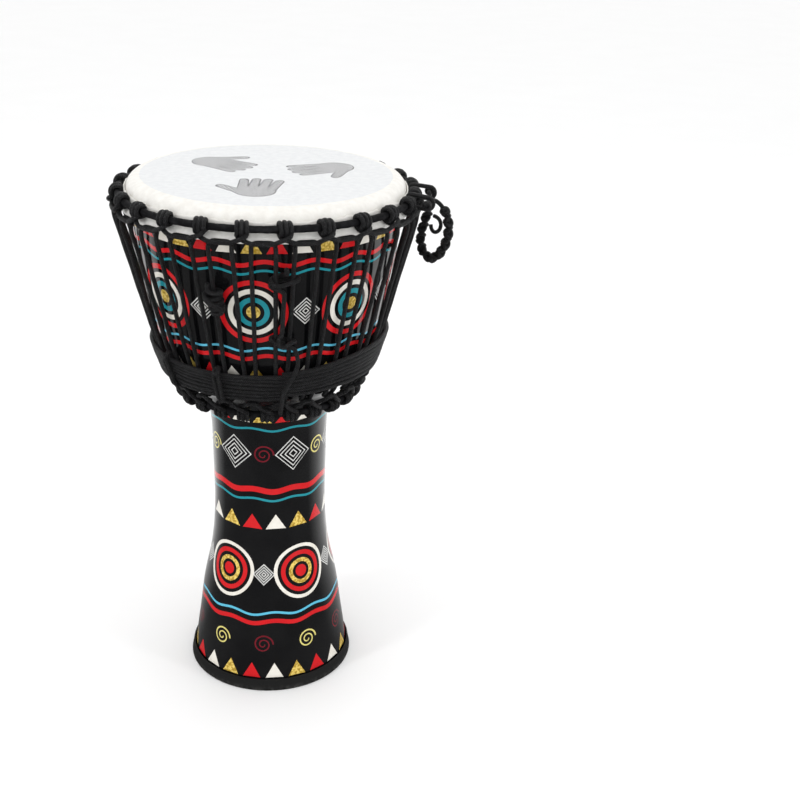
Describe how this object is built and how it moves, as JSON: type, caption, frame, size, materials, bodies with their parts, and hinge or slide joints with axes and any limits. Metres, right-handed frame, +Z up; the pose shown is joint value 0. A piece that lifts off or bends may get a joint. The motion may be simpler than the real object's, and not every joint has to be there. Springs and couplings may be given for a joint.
{
  "type": "djembe",
  "caption": "Rope-tuned goblet hand drum with a printed moulded shell, synthetic head, wound spare rope, rubber foot and a swinging knotted carrying handle.",
  "frame": {"origin": "centre of the foot's lower face, on the drum's axis, on the surface it stands on", "axes": "+Z up along the drum's axis to the head, -Y towards the front, +X towards the carrying handle"},
  "size_m": [0.3103, 0.2804, 0.506],
  "materials": {
    "shell_print": "glossy black moulded shell with a multicoloured print under clear lacquer",
    "skin": "off-white synthetic fibre head, matt, faintly woven",
    "rope": "black braided low-stretch cord, slightly glossy",
    "ring_cloth": "black cloth strip wound over the rings",
    "ring_steel": "plain steel rod, hidden",
    "foot_rubber": "matt black rubber"
  },
  "bodies": {
    "root": {"shell": "shell_print", "rubber_foot": "foot_rubber", "drumhead": "skin", "flesh_hoop": "ring_steel", "crown_ring": "ring_steel", "crown_ring_wrap": "ring_cloth", "base_ring": "ring_steel", "base_ring_wrap": "ring_cloth", "crown_loop_rope": "rope", "base_loop_rope": "rope", "tuning_rope": "rope", "spare_rope_coil": "rope", "coil_tie_left": "rope", "coil_tie_front": "rope", "rope_end_knot": "rope", "tail_hitch_upper": "rope", "tail_hitch_lower": "rope", "rope_tail": "rope", "becket_front": "rope", "becket_back": "rope"},
    "handle": {"handle_cord": "rope", "handle_braid": "rope", "handle_stop_knots": "rope", "handle_tail": "rope"}
  },
  "joints": [
    {"name": "handle_swing", "type": "hinge", "parent": "root", "child": "handle", "pos_m": [0.1457, 0, 0.49], "axis": [0, -1, 0], "range_deg": [0, 120]}
  ]
}
